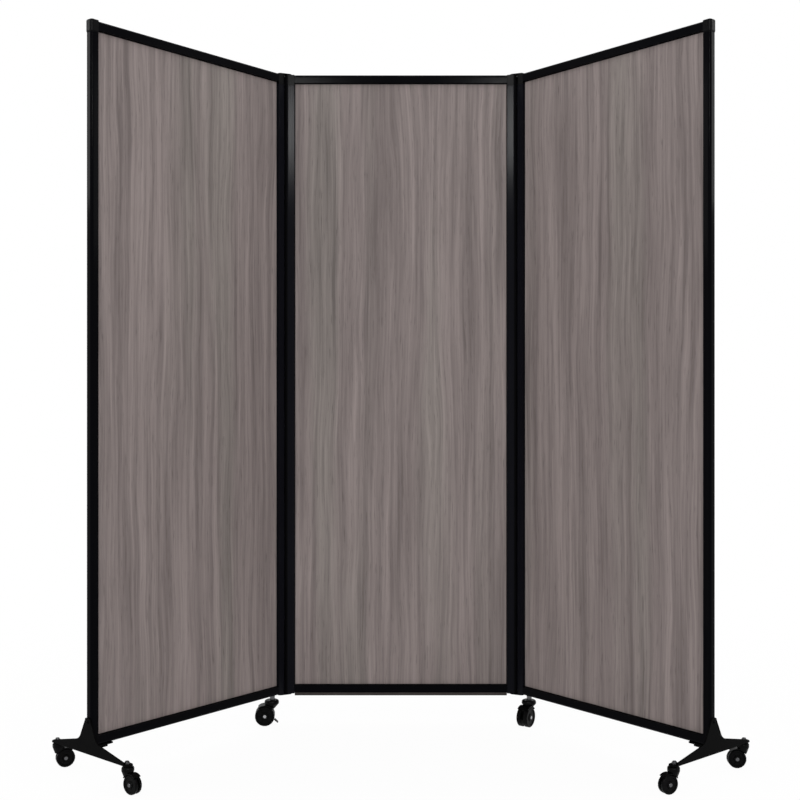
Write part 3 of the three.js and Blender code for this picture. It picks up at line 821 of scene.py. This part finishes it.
class SCREEN_OT_screws(ScreenOperator):
    """Drive a button-head screw into each leg's riser"""

    bl_idname = "screen.drive_screws"
    bl_label = "Drive Leg Screws"

    def execute(self, context):
        trim, metal = context.scene.screen_trim, context.scene.screen_metal
        steel = powder_coat("blackened_screw", metal.leg_coat, metal, (600.0, 600.0, 600.0))
        for side in SIDES:
            _, high = in_panel(f"{side}_leg", side)
            points, faces = self.head(trim.screw)
            spot = on_panel(np.array([high[0], 0.0, trim.screw_height]), side)
            turn = wing_turn(side)
            seated = tilted(points, (math.cos(turn), math.sin(turn))) + spot
            made(f"{side}_leg_screw", [(seated, faces)], f"{side}_wing", steel)
        return {"FINISHED"}

    def head(self, radius):
        """A dome (r cos a, r sin a / (2 sin 1.1)) for a from 0 to 1.1, turned about its axis, with
        a round driver recess in its crown.
        """
        a = np.linspace(0, SCREW_DOME, 7)
        dome = np.stack([np.cos(a), np.sin(a) / (2 * math.sin(SCREW_DOME))], axis=-1)
        return skin(turned(radius * np.concatenate([dome, SCREW_RECESS_SHARES]), steps=24))


class SCREEN_OT_welds(ScreenOperator):
    """Run a weld bead along each tongue where it meets its leg's web"""

    bl_idname = "screen.run_welds"
    bl_label = "Run Weld Beads"

    def execute(self, context):
        trim, metal = context.scene.screen_trim, context.scene.screen_metal
        coat = leg_coat(metal, "coated_weld")
        for side in SIDES:
            beads = [self.bead(side, end, trim) for end in LEG_ENDS]
            made(f"{side}_leg_welds", beads, f"{side}_wing", coat)
        return {"FINISHED"}

    def bead(self, side, end, trim):
        """A quarter-round fillet carried out along an arm, whose width at a place s of the way is
        w (1 - (2 s - 1)^8)^(1/2) (0.85 + 0.15 |cos(pi s L / ripple)|), for a bead of length L.
        """
        leg_low, leg_high = in_panel(f"{side}_leg", side)
        stem_low, stem_high = in_panel(f"{side}_{end}_castor_stem", side)
        middle = (stem_low[1] + stem_high[1]) / 2
        out = math.copysign(1.0, middle)
        s = run(count=73)
        ripple = np.abs(np.cos(math.pi * s * WELD_LENGTH / trim.ripple))
        width = trim.weld * faded(s) * (WELD_WAIST_SHARE + (1 - WELD_WAIST_SHARE) * ripple)
        a, b = bead_section(1.0, 1.0).T
        x = leg_high[0] - PLATE - width * a + SUNK
        z = leg_low[2] + PLATE + width * b - SUNK
        y = middle - out * WELD_LENGTH * (1 - s) + 0 * x
        return skin(on_panel(np.stack([x, y, z], axis=-1), side))


class SCREEN_OT_threads(ScreenOperator):
    """Cut the thread on the stems that stand out of the leg castors' nuts"""

    bl_idname = "screen.cut_threads"
    bl_label = "Cut Threads"

    def execute(self, context):
        trim, metal = context.scene.screen_trim, context.scene.screen_metal
        zinc = plating("threaded_zinc", metal.dark_zinc)
        for side in SIDES:
            for end in LEG_ENDS:
                name = f"{side}_{end}_castor"
                thread = self.thread(name, trim.thread)
                made(f"{name}_thread", [thread], f"{side}_wing", zinc)
        return {"FINISHED"}

    def thread(self, name, pitch):
        """A skin round the stem's end, r = stem + depth tri(h / pitch - t / 2 pi) at a height h
        and an angle t, where tri goes from 0 to 1 and back once in each turn.
        """
        _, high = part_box(f"{name}_stem")
        x, y = joint_place(f"{name}_swivel")
        up, around = THREAD_POINTS
        h = np.linspace(high.z - THREAD_SHOWN, high.z, up)[:, None]
        t = np.linspace(0, math.tau, around, endpoint=False)[None, :]
        phase = (h / pitch - t / math.tau) % 1.0
        depth = THREAD_DEPTH_SHARE * pitch * (1 - np.abs(2 * phase - 1))
        ends = np.minimum(h - h[0, 0], h[-1, 0] - h) / (THREAD_START_SHARE * pitch)
        radius = STEM + depth * np.clip(ends, 0, 1)
        rings = [x + radius * np.cos(t), y + radius * np.sin(t), h + 0 * t]
        return skin(np.stack(rings, axis=-1))


def wheel_frame(name):
    """A wheel's axle place, its outward direction, its rim radius and its width, from its node."""
    points = node_points(name)
    joint = JOINTS[f"{name}_spin"]
    middle = (points.min(axis=0) + points.max(axis=0)) / 2
    axis = np.array(joint["axis"], dtype=float)
    along = (points - middle) @ axis
    width = along.max() - along.min()
    out = axis if name.endswith("_a") else -axis
    return middle, out, (points[:, 2].max() - points[:, 2].min()) / 2, width


class SCREEN_OT_spokes(ScreenOperator):
    """Raise the moulded ribs in the dish of each wheel"""

    bl_idname = "screen.raise_spokes"
    bl_label = "Raise Wheel Ribs"

    def execute(self, context):
        trim, plastic = context.scene.screen_trim, context.scene.screen_plastic
        edge = plastic.edge
        nylon = moulded("nylon_spokes", plastic.wheel, roughness=0.40, grain=900.0, edge=edge)
        for side in SIDES:
            for end in CASTORS:
                hub = HINGE_HUB if end == "hinge" else LEG_HUB
                for letter in ("a", "b"):
                    name = f"{side}_{end}_castor_wheel_{letter}"
                    made(f"{name}_ribs", self.ribs(name, hub, trim.spoke), name, nylon)
        return {"FINISHED"}

    def ribs(self, name, hub, height):
        """Half-round ridges carried outwards through the dish, h = height sin(pi v) across their
        width and a flat foot that is sunk in the dish.
        """
        middle, out, radius, width = wheel_frame(name)
        up = np.array([0.0, 0.0, 1.0])
        across = np.cross(up, out)
        reach = np.linspace(hub - SUNK, radius - RIM_FACE, RIB_POINTS)[:, None]
        v = np.linspace(0, 1, RIB_POINTS)[None, :]
        side = (v - 0.5) * RIB_WIDTH
        rise = height * np.sin(math.pi * v) - SUNK
        ridges = []
        for turn in np.arange(SPOKES) * math.tau / SPOKES:
            outward = math.cos(turn) * across + math.sin(turn) * up
            beside = -math.sin(turn) * across + math.cos(turn) * up
            level = width / 2 - DISH + rise
            points = (
                middle
                + reach[..., None] * outward
                + side[..., None] * beside
                + (level + 0 * reach)[..., None] * out
            )
            ridges.append(skin(points))
        return ridges


class SCREEN_OT_lever_ribs(ScreenOperator):
    """Raise the grip ribs across the feet of the brake levers"""

    bl_idname = "screen.raise_lever_ribs"
    bl_label = "Raise Lever Ribs"

    def execute(self, context):
        trim, plastic = context.scene.screen_trim, context.scene.screen_plastic
        edge = plastic.edge
        nylon = moulded("nylon_grip", plastic.nylon, roughness=0.42, grain=1200.0, edge=edge)
        for side in SIDES:
            name = f"{side}_hinge_castor_brake_lever"
            made(f"{name}_ribs", self.ribs(side, name, trim.rib), name, nylon)
        return {"FINISHED"}

    def ribs(self, side, name, height):
        """Ridges across the foot, h = height sin(pi v) along it, which sink to nothing at the
        ends as (1 - (2 u - 1)^8)^(1/2).
        """
        tilt = JOINTS[f"{name}_tilt"]
        aside = np.array(tilt["axis"], dtype=float)
        points = node_points(name)
        offset = (points - np.array(tilt["pos_m"])) @ aside
        width = offset.max() - offset.min()
        corners = points[offset > offset.max() - SUNK]
        wheel = np.array(JOINTS[f"{side}_hinge_castor_wheel_a_spin"]["pos_m"])
        spokes = corners - wheel
        reach = np.linalg.norm(spokes - (spokes @ aside)[:, None] * aside, axis=1)
        near = corners[reach < np.median(reach)]
        far = corners[reach > np.median(reach)]
        root, tip = near[near[:, 2].argmax()], far[far[:, 2].argmax()]
        along = tip - root
        length = np.linalg.norm(along)
        along /= length
        normal = np.cross(along, aside)
        normal *= math.copysign(1.0, normal[2])
        u = run(count=25)
        v = np.linspace(0, 1, RIB_POINTS)[None, :]
        rise = height * np.sin(math.pi * v) * faded(u) - SUNK
        ridges = []
        for share in LEVER_RIB_SHARES:
            start = root + along * (length * share)
            line = (
                start
                - (RIB_MARGIN + u * (width - 2 * RIB_MARGIN))[..., None] * aside
                + ((v - 0.5) * RIB_WIDTH)[..., None] * along
                + rise[..., None] * normal
            )
            ridges.append(skin(line))
        return ridges


class SCREEN_OT_rivets(ScreenOperator):
    """Set the flattened pin heads under the lower hinge links"""

    bl_idname = "screen.set_rivets"
    bl_label = "Set Link Rivets"

    def execute(self, context):
        trim, metal = context.scene.screen_trim, context.scene.screen_metal
        steel = powder_coat("blackened_rivet", metal.leg_coat, metal, (500.0, 500.0, 500.0))
        for side in SIDES:
            low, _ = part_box(f"{side}_hinge_bottom_link")
            heads = []
            for joint in (f"{side}_link_fold", f"{side}_wing_fold"):
                points, faces = skin(self.head(trim.rivet))
                x, y = joint_place(joint)
                points = points * (1, -1, -1) + (x, y, low.z)
                heads.append((points, faces))
            made(f"{side}_link_rivets", heads, f"{side}_link_pair", steel)
        return {"FINISHED"}

    def head(self, radius):
        """A low dome turned about its axis: (r cos a, r sin a / 4) for a from 0 to 1.4, with a
        small flat in its middle and its foot sunk in the link.
        """
        a = np.linspace(0, RIVET_DOME, 8)
        dome = radius * np.stack([np.cos(a), np.sin(a) / 4], axis=-1)
        return turned([[radius, -SUNK], *dome], steps=28)


class SCREEN_OT_stage(ScreenOperator):
    """Set up the floor, the room, the lamps and the camera"""

    bl_idname = "screen.set_stage"
    bl_label = "Set Stage"

    def execute(self, context):
        studio = context.scene.screen_studio
        scene = context.scene
        scene.view_settings.view_transform = "Standard"
        self.camera(scene, studio)
        self.floor()
        self.room(scene, studio.room)
        for side, sign in SIDES.items():
            self.lamp(f"{side}_key_lamp", sign, *KEY_LAMP, studio.key)
            self.lamp(f"{side}_lamp", sign, *SIDE_LAMP, studio.side)
        return {"FINISHED"}

    def camera(self, scene, studio):
        """A level camera that looks along +Y from the photograph's place."""
        data = bpy.data.cameras.new("studio_camera")
        data.lens = studio.lens
        data.sensor_width = 36.0
        data.shift_x, data.shift_y = studio.shift
        camera = bpy.data.objects.new("studio_camera", data)
        low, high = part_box("centre_board")
        camera.location = (low + high) / 2
        camera.location.z = 0.0
        camera.location += mathutils.Vector(studio.place)
        camera.rotation_euler = (math.pi / 2, 0.0, 0.0)
        scene.collection.objects.link(camera)
        scene.camera = camera

    def floor(self):
        """A level plane whose far parts turn white to whoever looks, and keep no shadow."""
        mesh = bpy.data.meshes.new("floor")
        corners = FLOOR_REACH * np.array([(-1, -1, 0), (1, -1, 0), (1, 1, 0), (-1, 1, 0)])
        mesh.from_pydata(corners, [], [(0, 1, 2, 3)])
        finish = Finish("pale_floor", Roughness=0.8, Specular_IOR_Level=0.2)
        grain = finish.noise(finish.stretched((60.0, 60.0, 60.0)), detail=3.0)
        finish.feed("Base Color", finish.mix(grain, (0.90,) * 3, (0.94,) * 3))
        far = finish.node(
            "ShaderNodeVectorMath", {"operation": "LENGTH"}, output="Value", _0=finish.where
        )
        white = finish.node("ShaderNodeEmission", {}, Color=(1.0,) * 4, Strength=1.0)
        pale = FLOOR_WHITE + far.between(*FLOOR_FADE) * (1 - FLOOR_WHITE)
        plain = Signal(finish.tree, finish.shader.outputs[0])
        blend = finish.node(
            "ShaderNodeMixShader", {}, _0=eye_rays(finish.tree) * pale, _1=plain, _2=white
        )
        output = finish.tree.nodes["Material Output"]
        finish.tree.links.new(blend.socket, output.inputs["Surface"])
        mesh.materials.append(finish.material)
        floor = bpy.data.objects.new("floor", mesh)
        bpy.context.scene.collection.objects.link(floor)

    def room(self, scene, level):
        """Even light on the screen, and white behind it."""
        world = bpy.data.worlds.new("studio_room")
        world.use_nodes = True
        scene.world = world
        tree = world.node_tree
        plain, white = tree.nodes["Background"], tree.nodes.new("ShaderNodeBackground")
        for background, strength in ((plain, level), (white, 1.0)):
            background.inputs["Color"].default_value = (1.0,) * 4
            background.inputs["Strength"].default_value = strength
        blend = tree.nodes.new("ShaderNodeMixShader")
        tree.links.new(eye_rays(tree).socket, blend.inputs[0])
        tree.links.new(plain.outputs[0], blend.inputs[1])
        tree.links.new(white.outputs[0], blend.inputs[2])
        tree.links.new(blend.outputs[0], tree.nodes["World Output"].inputs["Surface"])

    def lamp(self, name, sign, place, aim, size, power):
        """A rectangular lamp that looks from its place to its aim and is only seen in gloss.

        The place and aim are those of the right side, which a sign of -1 mirrors to the left.
        """
        data = bpy.data.lights.new(name, "AREA")
        data.shape = "RECTANGLE"
        data.size, data.size_y = size
        data.energy = power
        lamp = bpy.data.objects.new(name, data)
        lamp.location = np.multiply(place, (sign, 1, 1))
        lamp.visible_diffuse = False
        x, y, z = np.subtract(aim, place) * (sign, 1, 1)
        level = math.hypot(x, y)
        lamp.rotation_euler = (math.pi / 2 + math.atan2(z, level), 0.0, math.atan2(-x, y))
        bpy.context.scene.collection.objects.link(lamp)


STEPS = (
    SCREEN_OT_boards,
    SCREEN_OT_sections,
    SCREEN_OT_caps,
    SCREEN_OT_legs,
    SCREEN_OT_castors,
    SCREEN_OT_gaskets,
    SCREEN_OT_painted_reflection,
    SCREEN_OT_wipers,
    SCREEN_OT_screws,
    SCREEN_OT_welds,
    SCREEN_OT_threads,
    SCREEN_OT_spokes,
    SCREEN_OT_lever_ribs,
    SCREEN_OT_rivets,
    SCREEN_OT_stage,
)
GROUPS = {
    "screen_boards": ScreenBoards,
    "screen_metal": ScreenMetal,
    "screen_plastic": ScreenPlastic,
    "screen_trim": ScreenTrim,
    "screen_studio": ScreenStudio,
}


class SCREEN_PT_sidebar(bpy.types.Panel):
    """Lists the screen's operators and settings"""

    bl_label = "Privacy Screen"
    bl_space_type = "VIEW_3D"
    bl_region_type = "UI"
    bl_category = "Screen"

    def draw(self, context):
        for step in STEPS:
            self.layout.operator(step.bl_idname)
        for name, group in GROUPS.items():
            box = self.layout.box()
            box.label(text=group.__doc__)
            for setting in group.__annotations__:
                box.prop(getattr(context.scene, name), setting)


CLASSES = (*GROUPS.values(), *STEPS, SCREEN_PT_sidebar)


def register():
    for cls in CLASSES:
        bpy.utils.register_class(cls)
    for name, group in GROUPS.items():
        setattr(bpy.types.Scene, name, bpy.props.PointerProperty(type=group))


def unregister():
    for name in GROUPS:
        delattr(bpy.types.Scene, name)
    for cls in reversed(CLASSES):
        bpy.utils.unregister_class(cls)


def main():
    """Builds everything on the frame."""
    register()
    for step in STEPS:
        group, name = step.bl_idname.split(".")
        getattr(getattr(bpy.ops, group), name)()


if __name__ == "__main__":
    main()
